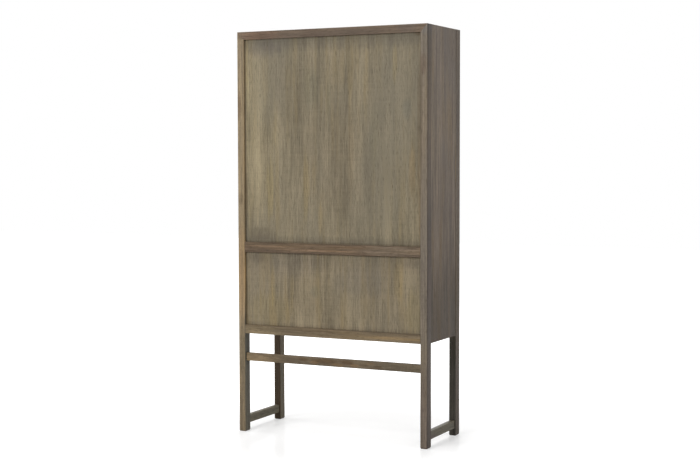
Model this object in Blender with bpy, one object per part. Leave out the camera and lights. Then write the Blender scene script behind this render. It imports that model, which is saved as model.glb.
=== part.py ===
"""A tall bar cabinet of solid oak on long legs.

The front faces -Y and +Z is up. The origin is on the floor, under the middle of the whole cabinet,
its pulls included. Left and right are those of someone who faces the doors. Lengths are in metres.
"""
import math

import bmesh
import bpy
from mathutils import Matrix, Vector

for old_object in list(bpy.data.objects):
    bpy.data.objects.remove(old_object, do_unlink=True)

# Whole cabinet, over the posts
CABINET_WIDTH = 1.098
CABINET_DEPTH = 0.432
CABINET_HEIGHT = 2.134

# Posts, which run down into the legs
POST_WIDTH = 0.038
POST_DEPTH = 0.051
POST_EASE = 0.0015
FOOT_EASE = 0.007

# Rails of the front and rear frames
TOP_RAIL_HEIGHT = 0.041
MIDDLE_RAIL_LOW = 0.969
MIDDLE_RAIL_HEIGHT = 0.053
BOTTOM_RAIL_LOW = 0.532
BOTTOM_RAIL_HEIGHT = 0.046
RAIL_EASE = 0.001

# Stretchers between the legs
REAR_STRETCHER_LOW = 0.383
FOOT_STRETCHER_LOW = 0.040
STRETCHER_HEIGHT = 0.042
STRETCHER_THICKNESS = 0.026

# Joinery
CLEARANCE = 0.0003
MERGE_DISTANCE = 0.00001
TENON_LENGTH = 0.014
TENON_THICKNESS = 0.012
TENON_SHOULDER = 0.012
TENON_ROOT = 0.006
GROOVE_DEPTH = 0.008

# Panels and boards
BACK_PANEL_THICKNESS = 0.012
BACK_PANEL_RECESS = 0.013
SIDE_PANEL_THICKNESS = 0.018
SIDE_PANEL_RECESS = 0.002
SIDE_TONGUE_THICKNESS = 0.009
BOARD_THICKNESS = 0.018
PARTITION_THICKNESS = 0.018

# Shelves, housed in the side panels. The high one halves the space over the low one.
LOW_SHELF_RISE = 0.430
SHELF_HOUSING = 0.006
SHELF_SETBACK = 0.004
SHELF_NOTCH_PLAY = 0.001

# Stemware rack under the low shelf: T-shaped slots in one board
STEM_SLOTS = 4
STEM_PITCH = 0.112
STEM_NECK_WIDTH = 0.030
STEM_FOOT_WIDTH = 0.090
STEM_FOOT_HEIGHT = 0.024
STEM_SLAT_THICKNESS = 0.009
STEM_PLATE_THICKNESS = 0.008
STEM_RACK_SETBACK = 0.012

# Doors
DOOR_THICKNESS = 0.022
DOOR_SETBACK = 0.001
DOOR_GAP = 0.003
STILE_WIDTH = 0.060
DOOR_PANEL_THICKNESS = 0.009
DOOR_TENON_THICKNESS = 0.008
DOOR_EASE = 0.001

# Lift-off butt hinges. The pin is fixed in the post's leaf, and the door's leaf drops over it.
HINGE_HEIGHT = 0.090
HINGE_DEPTH = 0.018
HINGE_INSET = 0.120
KNUCKLE_RADIUS = 0.0034
KNUCKLE_WRAP = math.radians(270)
KNUCKLE_STEPS = 9
LEAF_THICKNESS = 0.0014
HINGE_PIN_RADIUS = 0.0017
HINGE_PIN_PROUD = 0.0020
HINGE_PIN_SIDES = 12

# Pulls
PULL_REACH = 0.029
PULL_BAR = 0.009
PULL_EASE = 0.0012
DOOR_PULL_LENGTH = 0.224
DOOR_PULL_HEIGHT = 1.400
DRAWER_PULL_LENGTH = 0.160
DRAWER_PULL_DROP = 0.085

# Drawers and the wooden runners that carry them
DRAWER_FRONT_THICKNESS = 0.020
DRAWER_SIDE_THICKNESS = 0.013
DRAWER_SIDE_DROP = 0.131
DRAWER_SIDE_PLAY = 0.004
DRAWER_RISE = 0.010
DRAWER_REAR_GAP = 0.006
DRAWER_BOTTOM_THICKNESS = 0.008
DRAWER_BOTTOM_RISE = 0.010
DRAWER_GROOVE = 0.006
RUNNER_HEIGHT = 0.014
RUNNER_BITE = 0.006
RUNNER_PLAY = 0.0005
RUNNER_SETBACK = 0.004

# Places that follow from the sizes above
PULL_PROUD = PULL_REACH - DOOR_SETBACK
FRONT = -(CABINET_DEPTH + PULL_PROUD) / 2 + PULL_PROUD
BACK = FRONT + CABINET_DEPTH
HALF_WIDTH = CABINET_WIDTH / 2
POST_INNER = HALF_WIDTH - POST_WIDTH
FRONT_FRAME_BACK = FRONT + POST_DEPTH
REAR_FRAME_FRONT = BACK - POST_DEPTH
PANEL_OUTER = HALF_WIDTH - SIDE_PANEL_RECESS
PANEL_INNER = PANEL_OUTER - SIDE_PANEL_THICKNESS
TOP_RAIL_LOW = CABINET_HEIGHT - TOP_RAIL_HEIGHT
COUNTER_TOP = MIDDLE_RAIL_LOW + MIDDLE_RAIL_HEIGHT
FLOOR_TOP = BOTTOM_RAIL_LOW + BOTTOM_RAIL_HEIGHT
BACK_PANEL_FRONT = BACK - BACK_PANEL_RECESS - BACK_PANEL_THICKNESS
HINGE_AXIS_X = POST_INNER - DOOR_GAP / 2
HINGE_AXIS_Y = FRONT - KNUCKLE_RADIUS - CLEARANCE
DOOR_FRONT = FRONT + DOOR_SETBACK
DOOR_BACK = DOOR_FRONT + DOOR_THICKNESS

# Finishes: colour, roughness, metallic
OAK_FRAME = ((0.190, 0.158, 0.112), 0.62, 0.0)
OAK_PANEL = ((0.215, 0.190, 0.135), 0.64, 0.0)
OAK_INSIDE = ((0.240, 0.200, 0.145), 0.60, 0.0)
DARK_IRON = ((0.030, 0.028, 0.026), 0.45, 0.9)
AGED_BRASS = ((0.300, 0.210, 0.100), 0.38, 1.0)


def own_material(name, finish):
    """A material for one piece."""
    colour, roughness, metallic = finish
    material = bpy.data.materials.new(name)
    material.use_nodes = True
    surface = material.node_tree.nodes["Principled BSDF"]
    surface.inputs["Base Color"].default_value = (*colour, 1.0)
    surface.inputs["Roughness"].default_value = roughness
    surface.inputs["Metallic"].default_value = metallic
    return material


def add_object(name, mesh):
    """Turn a bmesh, in world coordinates, into an object of the scene."""
    bmesh.ops.recalc_face_normals(mesh, faces=mesh.faces)
    data = bpy.data.meshes.new(name)
    mesh.to_mesh(data)
    mesh.free()
    made = bpy.data.objects.new(name, data)
    bpy.context.scene.collection.objects.link(made)
    return made


def add_piece(name, mesh, finish, pivot=None):
    """A named piece with its own material, under its joint's empty if it moves."""
    piece = add_object(name, mesh)
    piece.data.materials.append(own_material(name, finish))
    if pivot:
        piece.parent = pivot
        piece.location = -pivot.location
    return piece


def add_pivot(name, place):
    """An empty on a joint's axis."""
    pivot = bpy.data.objects.new(name, None)
    pivot.location = place
    bpy.context.scene.collection.objects.link(pivot)
    return pivot


def ease_edges(mesh, edges, width, segments=1):
    """Take the sharpness off some edges."""
    bmesh.ops.bevel(mesh, geom=edges, offset=width, segments=segments, profile=0.5, affect='EDGES')


def edges_of(verts):
    """The edges between some vertices, each once and in a fixed order."""
    return list(dict.fromkeys(edge for vert in verts for edge in vert.link_edges))


def add_block(mesh, low, high, ease=0.0):
    """A box between two corners, with its edges eased."""
    size = [top - bottom for bottom, top in zip(low, high)]
    middle = [(top + bottom) / 2 for bottom, top in zip(low, high)]
    place = Matrix.Translation(middle) @ Matrix.Diagonal((*size, 1.0))
    verts = bmesh.ops.create_cube(mesh, size=1.0, matrix=place)["verts"]
    if ease:
        ease_edges(mesh, edges_of(verts), ease)


def block(low, high, ease=0.0):
    """A bmesh that holds one box."""
    mesh = bmesh.new()
    add_block(mesh, low, high, ease)
    return mesh


def add_prism(mesh, corners, sweep):
    """A flat outline, given in order, swept along a vector."""
    outline = mesh.faces.new([mesh.verts.new(corner) for corner in corners])
    swept = bmesh.ops.extrude_face_region(mesh, geom=[outline])["geom"]
    moved = [item for item in swept if isinstance(item, bmesh.types.BMVert)]
    bmesh.ops.translate(mesh, verts=moved, vec=sweep)
    return moved + list(outline.verts)


def turned(profile, place, steps):
    """A bmesh of one turned solid. The profile is (radius, height) from end to end, about Z."""
    mesh = bmesh.new()
    verts = [mesh.verts.new((radius, 0.0, height)) for radius, height in profile]
    edges = [mesh.edges.new(pair) for pair in zip(verts, verts[1:])]
    bmesh.ops.spin(mesh, geom=verts + edges, cent=(0, 0, 0), axis=(0, 0, 1), dvec=(0, 0, 0),
                   angle=math.tau, steps=steps, use_merge=True)
    bmesh.ops.remove_doubles(mesh, verts=mesh.verts, dist=MERGE_DISTANCE)
    bmesh.ops.translate(mesh, verts=mesh.verts, vec=place)
    return mesh


def grown(low, high, by):
    """A box made larger all round."""
    return [value - by for value in low], [value + by for value in high]


def hide_tool(tool):
    """Mark an object as one that only shapes others."""
    tool.hide_render = True
    tool.display_type = 'WIRE'
    return tool


def add_pocket(name, boxes, play=CLEARANCE):
    """A cutter that leaves some boxes their room. The boxes don't meet each other."""
    return hide_tool(add_object(name, blocks([grown(low, high, play) for low, high in boxes])))


def let_in(piece, *pockets):
    """Cut pockets out of a piece."""
    for pocket in pockets:
        cut = piece.modifiers.new(pocket.name, 'BOOLEAN')
        cut.operation = 'DIFFERENCE'
        cut.solver = 'EXACT'
        cut.object = pocket


def add_on(piece, name, mesh):
    """Join a shape to a piece that it overlaps."""
    join = piece.modifiers.new(name, 'BOOLEAN')
    join.operation = 'UNION'
    join.solver = 'EXACT'
    join.object = hide_tool(add_object(name, mesh))


def blocks(boxes):
    """A bmesh of some boxes that don't meet each other."""
    mesh = bmesh.new()
    for low, high in boxes:
        add_block(mesh, low, high)
    return mesh


def tenons(low, high, axis, thickness, length, shoulder):
    """The tenon boxes on both ends of a bar along axis, each with a root inside the bar."""
    cross = 1 - axis
    middle = (low[cross] + high[cross]) / 2
    boxes = []
    for end, outwards in ((low[axis], -1), (high[axis], 1)):
        along = sorted((end - outwards * TENON_ROOT, end + outwards * length))
        box_low = [0.0, 0.0, low[2] + shoulder]
        box_high = [0.0, 0.0, high[2] - shoulder]
        box_low[axis], box_high[axis] = along
        box_low[cross] = middle - thickness / 2
        box_high[cross] = middle + thickness / 2
        boxes.append((box_low, box_high))
    return boxes


def tenoned_bar(name, low, high, axis, finish, shoulder=TENON_SHOULDER):
    """A rail or stretcher with a tenon on each end, and the pocket that both tenons fit."""
    bar = add_piece(name, block(low, high, RAIL_EASE), finish)
    boxes = tenons(low, high, axis, TENON_THICKNESS, TENON_LENGTH, shoulder)
    add_on(bar, name + "_tenons", blocks(boxes))
    return bar, add_pocket(name + "_mortises", boxes)


def across(side, inner, outer):
    """The X range between two distances from the middle, on the left (-1) or the right (1)."""
    return sorted((side * inner, side * outer))


def cut_mitre(mesh, side, keep_above, gap):
    """Cut one end of a top rail, or the head of a post, along the mitre of the frame's corner."""
    inner = Vector((side * POST_INNER, 0.0, TOP_RAIL_LOW))
    outer = Vector((side * HALF_WIDTH, 0.0, CABINET_HEIGHT))
    along = (outer - inner).normalized()
    upwards = Vector((-along.z * side, 0.0, along.x * side))
    keep = upwards if keep_above else -upwards
    bmesh.ops.bisect_plane(mesh, geom=mesh.verts[:] + mesh.edges[:] + mesh.faces[:],
                           dist=MERGE_DISTANCE / 10, plane_co=inner + keep * gap, plane_no=-keep,
                           clear_outer=True)
    rim = [edge for edge in mesh.edges if edge.is_boundary]
    bmesh.ops.holes_fill(mesh, edges=rim, sides=0)


SIDES = (("left", -1), ("right", 1))


# Rails of the rear and front frames. The middle and bottom rails are tenoned into the posts, and
# the top rails meet the posts in a mitre.
rail_span = POST_INNER - CLEARANCE
frame_depths = {"rear": (REAR_FRAME_FRONT, BACK), "front": (FRONT, FRONT_FRAME_BACK)}
rail_heights = {
    "middle": (MIDDLE_RAIL_LOW, COUNTER_TOP),
    "bottom": (BOTTOM_RAIL_LOW, FLOOR_TOP),
}
rails = {}
mortises = {}
for frame_name, (near, far) in frame_depths.items():
    for rail_name, (bottom, top) in rail_heights.items():
        key = (frame_name, rail_name)
        rails[key], mortises[key] = tenoned_bar(
            f"{frame_name}_{rail_name}_rail", (-rail_span, near, bottom), (rail_span, far, top), 0,
            OAK_FRAME)
    mesh = block((-HALF_WIDTH, near, TOP_RAIL_LOW), (HALF_WIDTH, far, CABINET_HEIGHT), RAIL_EASE)
    for _, side in SIDES:
        cut_mitre(mesh, side, keep_above=True, gap=CLEARANCE / 2)
    rails[(frame_name, "top")] = add_piece(f"{frame_name}_top_rail", mesh, OAK_FRAME)

# The stretcher between the rear legs, and one between the legs of each side
rear_middle = (REAR_FRAME_FRONT + BACK) / 2
half_stretcher = STRETCHER_THICKNESS / 2
_, rear_stretcher_mortises = tenoned_bar(
    "rear_stretcher",
    (-rail_span, rear_middle - half_stretcher, REAR_STRETCHER_LOW),
    (rail_span, rear_middle + half_stretcher, REAR_STRETCHER_LOW + STRETCHER_HEIGHT), 0, OAK_FRAME)
post_middle = (POST_INNER + HALF_WIDTH) / 2
foot_mortises = {}
for side_name, side in SIDES:
    low_x, high_x = across(side, post_middle - half_stretcher, post_middle + half_stretcher)
    _, foot_mortises[side] = tenoned_bar(
        f"{side_name}_foot_stretcher",
        (low_x, FRONT_FRAME_BACK + CLEARANCE, FOOT_STRETCHER_LOW),
        (high_x, REAR_FRAME_FRONT - CLEARANCE, FOOT_STRETCHER_LOW + STRETCHER_HEIGHT), 1, OAK_FRAME)

# Back panels, let into grooves of the rear frame
groove_reach = GROOVE_DEPTH - CLEARANCE
back_pockets = []
back_panels = {"upper": (COUNTER_TOP, TOP_RAIL_LOW), "lower": (FLOOR_TOP, MIDDLE_RAIL_LOW)}
for panel_name, (bottom, top) in back_panels.items():
    low = (-POST_INNER - groove_reach, BACK_PANEL_FRONT, bottom - groove_reach)
    high = (POST_INNER + groove_reach, BACK_PANEL_FRONT + BACK_PANEL_THICKNESS, top + groove_reach)
    add_piece(f"{panel_name}_back_panel", block(low, high), OAK_PANEL)
    back_pockets.append(add_pocket(f"{panel_name}_back_panel_groove", [(low, high)]))
upper_groove, lower_groove = back_pockets
let_in(rails[("rear", "top")], upper_groove)
let_in(rails[("rear", "middle")], upper_groove, lower_groove)
let_in(rails[("rear", "bottom")], lower_groove)

# Side panels, with a tongue along each upright edge
side_panels = {}
side_grooves = {}
for side_name, side in SIDES:
    low_x, high_x = across(side, PANEL_INNER, PANEL_OUTER)
    low = (low_x, FRONT_FRAME_BACK + CLEARANCE, BOTTOM_RAIL_LOW)
    high = (high_x, REAR_FRAME_FRONT - CLEARANCE, CABINET_HEIGHT)
    panel = add_piece(f"{side_name}_side_panel", block(low, high), OAK_PANEL)
    tongues = tenons(low, high, 1, SIDE_TONGUE_THICKNESS, groove_reach, TENON_SHOULDER)
    for _, tongue_high in tongues:
        tongue_high[2] = TOP_RAIL_LOW - TENON_SHOULDER
    add_on(panel, f"{side_name}_side_panel_tongues", blocks(tongues))
    side_grooves[side] = add_pocket(f"{side_name}_side_panel_grooves", tongues)
    side_panels[side] = panel

# Posts. Each takes the tenons of its rails and stretchers and the tongue of its side panel; the rear
# posts take the back panels as well, and the front posts the hinge leaves.
hinge_middles = {
    "lower": COUNTER_TOP + DOOR_GAP + HINGE_INSET,
    "upper": TOP_RAIL_LOW - DOOR_GAP - HINGE_INSET,
}


def leaf_room(side, inner, outer):
    """The boxes that the hinge leaves of one door take up beside the gap."""
    low_x, high_x = across(side, inner, outer)
    boxes = []
    for middle in hinge_middles.values():
        boxes.append(((low_x, HINGE_AXIS_Y, middle - HINGE_HEIGHT / 2),
                      (high_x, FRONT + HINGE_DEPTH, middle + HINGE_HEIGHT / 2)))
    return boxes


for frame_name, (near, far) in frame_depths.items():
    for side_name, side in SIDES:
        low_x, high_x = across(side, POST_INNER, HALF_WIDTH)
        mesh = block((low_x, near, 0), (high_x, far, CABINET_HEIGHT))
        upright = [edge for edge in mesh.edges if edge.calc_length() > CABINET_HEIGHT / 2]
        ease_edges(mesh, upright, POST_EASE)
        under = [edge for edge in mesh.edges if all(vert.co.z < CLEARANCE for vert in edge.verts)]
        ease_edges(mesh, under, FOOT_EASE, segments=2)
        cut_mitre(mesh, side, keep_above=False, gap=CLEARANCE / 2)
        post = add_piece(f"{frame_name}_{side_name}_post", mesh, OAK_FRAME)
        let_in(post, mortises[(frame_name, "middle")], mortises[(frame_name, "bottom")])
        let_in(post, side_grooves[side], foot_mortises[side])
        if frame_name == "rear":
            let_in(post, upper_groove, lower_groove, rear_stretcher_mortises)
        else:
            leaves = leaf_room(side, HINGE_AXIS_X, HINGE_AXIS_X + KNUCKLE_RADIUS)
            let_in(post, add_pocket(f"{side_name}_post_leaf_mortises", leaves))

# Boards between the frames and the side panels: top, bar counter and floor
board_x = PANEL_INNER - CLEARANCE
board_near = FRONT_FRAME_BACK + CLEARANCE
board_far = REAR_FRAME_FRONT - CLEARANCE
boards = {"top_panel": CABINET_HEIGHT, "bar_counter": COUNTER_TOP, "cabinet_floor": FLOOR_TOP}
for board_name, top in boards.items():
    mesh = block((-board_x, board_near, top - BOARD_THICKNESS), (board_x, board_far, top))
    add_piece(board_name, mesh, OAK_INSIDE)

# Partition between the drawers, from the floor to the counter
mesh = block((-PARTITION_THICKNESS / 2, board_near, FLOOR_TOP + CLEARANCE),
             (PARTITION_THICKNESS / 2, board_far, COUNTER_TOP - BOARD_THICKNESS - CLEARANCE))
add_piece("centre_partition", mesh, OAK_INSIDE)

# Shelves, housed in the side panels and notched round the rear posts to reach the back panel
shelf_x = PANEL_INNER + SHELF_HOUSING - CLEARANCE
shelf_near = FRONT_FRAME_BACK + SHELF_SETBACK
notch_x = POST_INNER - SHELF_NOTCH_PLAY
notch_y = REAR_FRAME_FRONT - SHELF_NOTCH_PLAY
shelf_far = BACK_PANEL_FRONT - SHELF_NOTCH_PLAY
low_shelf_top = COUNTER_TOP + LOW_SHELF_RISE
high_shelf_top = (low_shelf_top + TOP_RAIL_LOW + BOARD_THICKNESS) / 2
shelf_outline = ((-shelf_x, shelf_near), (shelf_x, shelf_near), (shelf_x, notch_y), (notch_x, notch_y),
                 (notch_x, shelf_far), (-notch_x, shelf_far), (-notch_x, notch_y), (-shelf_x, notch_y))
for shelf_name, shelf_top in (("low", low_shelf_top), ("high", high_shelf_top)):
    shelf_bottom = shelf_top - BOARD_THICKNESS
    mesh = bmesh.new()
    add_prism(mesh, [(x, y, shelf_bottom) for x, y in shelf_outline], (0, 0, BOARD_THICKNESS))
    add_piece(f"{shelf_name}_shelf", mesh, OAK_INSIDE)
    housing = add_pocket(f"{shelf_name}_shelf_housing", [
        ((-shelf_x, shelf_near, shelf_bottom), (shelf_x, notch_y, shelf_bottom + BOARD_THICKNESS))])
    for panel in side_panels.values():
        let_in(panel, housing)

# Stemware rack under the low shelf. The feet of glasses slide into the wide part of each slot, and
# their stems hang down through its neck.
rack_top = low_shelf_top - BOARD_THICKNESS - CLEARANCE
foot_top = rack_top - STEM_PLATE_THICKNESS
slat_top = foot_top - STEM_FOOT_HEIGHT
rack_low = slat_top - STEM_SLAT_THICKNESS
rack_x = STEM_SLOTS * STEM_PITCH / 2 + (STEM_PITCH - STEM_NECK_WIDTH) / 2
outline = [(-rack_x, rack_low), (-rack_x, rack_top), (rack_x, rack_top), (rack_x, rack_low)]
for slot in range(STEM_SLOTS):
    middle = ((STEM_SLOTS - 1) / 2 - slot) * STEM_PITCH
    neck = STEM_NECK_WIDTH / 2
    foot = STEM_FOOT_WIDTH / 2
    outline += [(middle + neck, rack_low), (middle + neck, slat_top), (middle + foot, slat_top),
                (middle + foot, foot_top), (middle - foot, foot_top), (middle - foot, slat_top),
                (middle - neck, slat_top), (middle - neck, rack_low)]
rack_near = shelf_near + STEM_RACK_SETBACK
rack_far = notch_y - STEM_RACK_SETBACK
mesh = bmesh.new()
add_prism(mesh, [(x, rack_near, z) for x, z in outline], (0, rack_far - rack_near, 0))
add_piece("stemware_rack", mesh, OAK_INSIDE)


def pull_mesh(length, along, foot):
    """A pull of square bar. foot is the middle of its length on the wood, along its direction."""
    across_bar = along.cross(Vector((0, 1, 0)))
    reach = PULL_REACH - CLEARANCE
    inner_reach = reach - PULL_BAR
    half = length / 2
    inner_half = half - PULL_BAR
    outline = ((0, -half), (reach, -half), (reach, half), (0, half),
               (0, inner_half), (inner_reach, inner_half), (inner_reach, -inner_half), (0, -inner_half))
    start = foot - across_bar * PULL_BAR / 2 - Vector((0, CLEARANCE, 0))
    mesh = bmesh.new()
    corners = [start + along * place - Vector((0, out, 0)) for out, place in outline]
    verts = add_prism(mesh, corners, across_bar * PULL_BAR)
    ease_edges(mesh, edges_of(verts), PULL_EASE)
    return mesh


def leaf_prism(side, facing, middle_z, bore):
    """A leaf whose edge is rolled round the axis. facing is 1 for the post's leaf, -1 for the door's."""
    plate_end = FRONT + HINGE_DEPTH - HINGE_AXIS_Y
    turns = [-KNUCKLE_WRAP * step / KNUCKLE_STEPS for step in range(KNUCKLE_STEPS + 1)]
    outline = [(KNUCKLE_RADIUS, plate_end)]
    outline += [(KNUCKLE_RADIUS * math.cos(turn), KNUCKLE_RADIUS * math.sin(turn)) for turn in turns]
    if bore:
        outline += [(bore * math.cos(turn), bore * math.sin(turn)) for turn in reversed(turns)]
    plate_inner = KNUCKLE_RADIUS - LEAF_THICKNESS
    if not bore:
        outline.append((plate_inner, KNUCKLE_RADIUS / 2))
    outline.append((plate_inner, plate_end))
    bottom = middle_z - HINGE_HEIGHT / 2
    mesh = bmesh.new()
    corners = [(side * (HINGE_AXIS_X + facing * x), HINGE_AXIS_Y + y, bottom) for x, y in outline]
    add_prism(mesh, corners, (0, 0, HINGE_HEIGHT))
    return mesh


def knuckle_cutter(side, middle_z, direction):
    """The room that a leaf leaves the other's knuckle, above (1) or below (-1) its middle."""
    low_x, high_x = across(side, HINGE_AXIS_X - 2 * KNUCKLE_RADIUS, HINGE_AXIS_X + 2 * KNUCKLE_RADIUS)
    low_z, high_z = sorted((middle_z, middle_z + direction * HINGE_HEIGHT))
    return (low_x, HINGE_AXIS_Y - 2 * KNUCKLE_RADIUS, low_z), (high_x, FRONT, high_z)


def add_hinge(side_name, side, hinge_name, pivot):
    """One hinge: the post's leaf with the lower knuckle and the pin, and the door's with the upper one."""
    middle = hinge_middles[hinge_name]
    base_name = f"{side_name}_{hinge_name}"
    post_leaf = add_piece(f"{base_name}_post_leaf", leaf_prism(side, 1, middle, None), AGED_BRASS)
    room = knuckle_cutter(side, middle, 1)
    let_in(post_leaf, add_pocket(post_leaf.name + "_room", [room], CLEARANCE / 2))
    pin_low = -HINGE_HEIGHT / 4
    pin_top = HINGE_HEIGHT / 2 + HINGE_PIN_PROUD
    pin_tip = HINGE_PIN_RADIUS / 2
    profile = ((0, pin_low), (HINGE_PIN_RADIUS, pin_low), (HINGE_PIN_RADIUS, pin_top - pin_tip),
               (pin_tip, pin_top), (0, pin_top))
    pin_place = Vector((side * HINGE_AXIS_X, HINGE_AXIS_Y, middle))
    add_on(post_leaf, post_leaf.name + "_pin", turned(profile, pin_place, HINGE_PIN_SIDES))
    bore = HINGE_PIN_RADIUS + CLEARANCE
    mesh = leaf_prism(side, -1, middle, bore)
    door_leaf = add_piece(f"{base_name}_door_leaf", mesh, AGED_BRASS, pivot)
    room = knuckle_cutter(side, middle, -1)
    let_in(door_leaf, add_pocket(door_leaf.name + "_room", [room], CLEARANCE / 2))


door_low = COUNTER_TOP + DOOR_GAP
door_high = TOP_RAIL_LOW - DOOR_GAP
door_inner = DOOR_GAP / 2
door_outer = POST_INNER - DOOR_GAP
panel_near = (DOOR_FRONT + DOOR_BACK - DOOR_PANEL_THICKNESS) / 2
panel_low = door_low + STILE_WIDTH - groove_reach
panel_high = door_high - STILE_WIDTH + groove_reach
for side_name, side in SIDES:
    # A door: two stiles, two rails tenoned into them, and a flat panel in a groove all round
    pivot = add_pivot(f"{side_name}_door_pivot", Vector((side * HINGE_AXIS_X, HINGE_AXIS_Y, 0)))
    stiles = []
    for stile_name, inner in (("inner", door_inner), ("outer", door_outer - STILE_WIDTH)):
        low_x, high_x = across(side, inner, inner + STILE_WIDTH)
        mesh = block((low_x, DOOR_FRONT, door_low), (high_x, DOOR_BACK, door_high), DOOR_EASE)
        stiles.append(add_piece(f"{side_name}_door_{stile_name}_stile", mesh, OAK_FRAME, pivot))
    shoulder = STILE_WIDTH + CLEARANCE
    low_x, high_x = across(side, door_inner + shoulder, door_outer - shoulder)
    low = (low_x - groove_reach, panel_near, panel_low)
    high = (high_x + groove_reach, panel_near + DOOR_PANEL_THICKNESS, panel_high)
    add_piece(f"{side_name}_door_panel", block(low, high), OAK_PANEL, pivot)
    panel_groove = add_pocket(f"{side_name}_door_groove", [(low, high)])
    rail_tenons = []
    for rail_name, bottom in (("bottom", door_low), ("top", door_high - STILE_WIDTH)):
        low = (low_x, DOOR_FRONT, bottom)
        high = (high_x, DOOR_BACK, bottom + STILE_WIDTH)
        mesh = block(low, high, DOOR_EASE)
        rail = add_piece(f"{side_name}_door_{rail_name}_rail", mesh, OAK_FRAME, pivot)
        boxes = tenons(low, high, 0, DOOR_TENON_THICKNESS, TENON_LENGTH, TENON_SHOULDER)
        add_on(rail, rail.name + "_tenons", blocks(boxes))
        let_in(rail, panel_groove)
        rail_tenons += boxes
    rail_mortises = add_pocket(f"{side_name}_door_mortises", rail_tenons)
    for stile in stiles:
        let_in(stile, panel_groove, rail_mortises)
    leaves = leaf_room(side, HINGE_AXIS_X - KNUCKLE_RADIUS, HINGE_AXIS_X)
    let_in(stiles[1], add_pocket(f"{side_name}_door_leaf_mortises", leaves))
    for hinge_name in hinge_middles:
        add_hinge(side_name, side, hinge_name, pivot)
    foot = Vector((side * (door_inner + STILE_WIDTH / 2), DOOR_FRONT, DOOR_PULL_HEIGHT))
    mesh = pull_mesh(DOOR_PULL_LENGTH, Vector((0, 0, 1)), foot)
    add_piece(f"{side_name}_door_pull", mesh, DARK_IRON, pivot)

# Drawers: a front, two grooved sides, a back, and a bottom let into grooves. A runner on the side
# panel and one on the partition reach into the grooves of the sides.
drawer_low = FLOOR_TOP + DRAWER_RISE
drawer_high = MIDDLE_RAIL_LOW - DRAWER_SIDE_DROP
front_back = DOOR_FRONT + DRAWER_FRONT_THICKNESS
side_near = front_back + CLEARANCE
side_far = REAR_FRAME_FRONT - DRAWER_REAR_GAP
runner_low = (drawer_low + drawer_high) / 2
inner_face = PARTITION_THICKNESS / 2 + DRAWER_SIDE_PLAY
outer_face = POST_INNER - DRAWER_SIDE_PLAY
inside_inner = inner_face + DRAWER_SIDE_THICKNESS
inside_outer = outer_face - DRAWER_SIDE_THICKNESS
drawer_sides = (
    ("inner", (inner_face, inside_inner), (PARTITION_THICKNESS / 2 + CLEARANCE, inner_face + RUNNER_BITE)),
    ("outer", (inside_outer, outer_face), (outer_face - RUNNER_BITE, PANEL_INNER - CLEARANCE)),
)
for side_name, side in SIDES:
    pivot = add_pivot(f"{side_name}_drawer_slide", Vector((side * POST_INNER / 2, FRONT, drawer_low)))
    low_x, high_x = across(side, DOOR_GAP / 2, POST_INNER - DOOR_GAP)
    low = (low_x, DOOR_FRONT, FLOOR_TOP + DOOR_GAP)
    high = (high_x, front_back, MIDDLE_RAIL_LOW - DOOR_GAP)
    drawer_front = add_piece(f"{side_name}_drawer_front", block(low, high, DOOR_EASE), OAK_PANEL, pivot)
    foot = Vector(((low_x + high_x) / 2, DOOR_FRONT, MIDDLE_RAIL_LOW - DRAWER_PULL_DROP))
    mesh = pull_mesh(DRAWER_PULL_LENGTH, Vector((1, 0, 0)), foot)
    add_piece(f"{side_name}_drawer_pull", mesh, DARK_IRON, pivot)

    low_x, high_x = across(side, inside_inner + CLEARANCE, inside_outer - CLEARANCE)
    low = (low_x, side_far - DRAWER_SIDE_THICKNESS, drawer_low)
    high = (high_x, side_far, drawer_high)
    drawer_back = add_piece(f"{side_name}_drawer_back", block(low, high, DOOR_EASE), OAK_INSIDE, pivot)

    reach = DRAWER_GROOVE - CLEARANCE
    bottom_low = drawer_low + DRAWER_BOTTOM_RISE
    low_x, high_x = across(side, inside_inner - reach, inside_outer + reach)
    low = (low_x, front_back - reach, bottom_low)
    high = (high_x, side_far - DRAWER_SIDE_THICKNESS + reach, bottom_low + DRAWER_BOTTOM_THICKNESS)
    add_piece(f"{side_name}_drawer_bottom", block(low, high), OAK_INSIDE, pivot)
    bottom_groove = add_pocket(f"{side_name}_drawer_bottom_groove", [(low, high)])
    let_in(drawer_front, bottom_groove)
    let_in(drawer_back, bottom_groove)

    for place_name, side_range, runner_range in drawer_sides:
        low_x, high_x = across(side, *side_range)
        mesh = block((low_x, side_near, drawer_low), (high_x, side_far, drawer_high), DOOR_EASE)
        drawer_side = add_piece(f"{side_name}_drawer_{place_name}_side", mesh, OAK_INSIDE, pivot)
        low_x, high_x = across(side, *runner_range)
        low = (low_x, FRONT_FRAME_BACK + RUNNER_SETBACK, runner_low)
        high = (high_x, REAR_FRAME_FRONT - RUNNER_SETBACK, runner_low + RUNNER_HEIGHT)
        add_piece(f"{side_name}_{place_name}_runner", block(low, high), OAK_INSIDE)
        room = (low, (high_x, side_far + RUNNER_SETBACK, high[2]))
        let_in(drawer_side, bottom_groove, add_pocket(drawer_side.name + "_groove", [room], RUNNER_PLAY))
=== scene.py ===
import math

import bmesh
import bpy
from mathutils import Matrix, Vector


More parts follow.
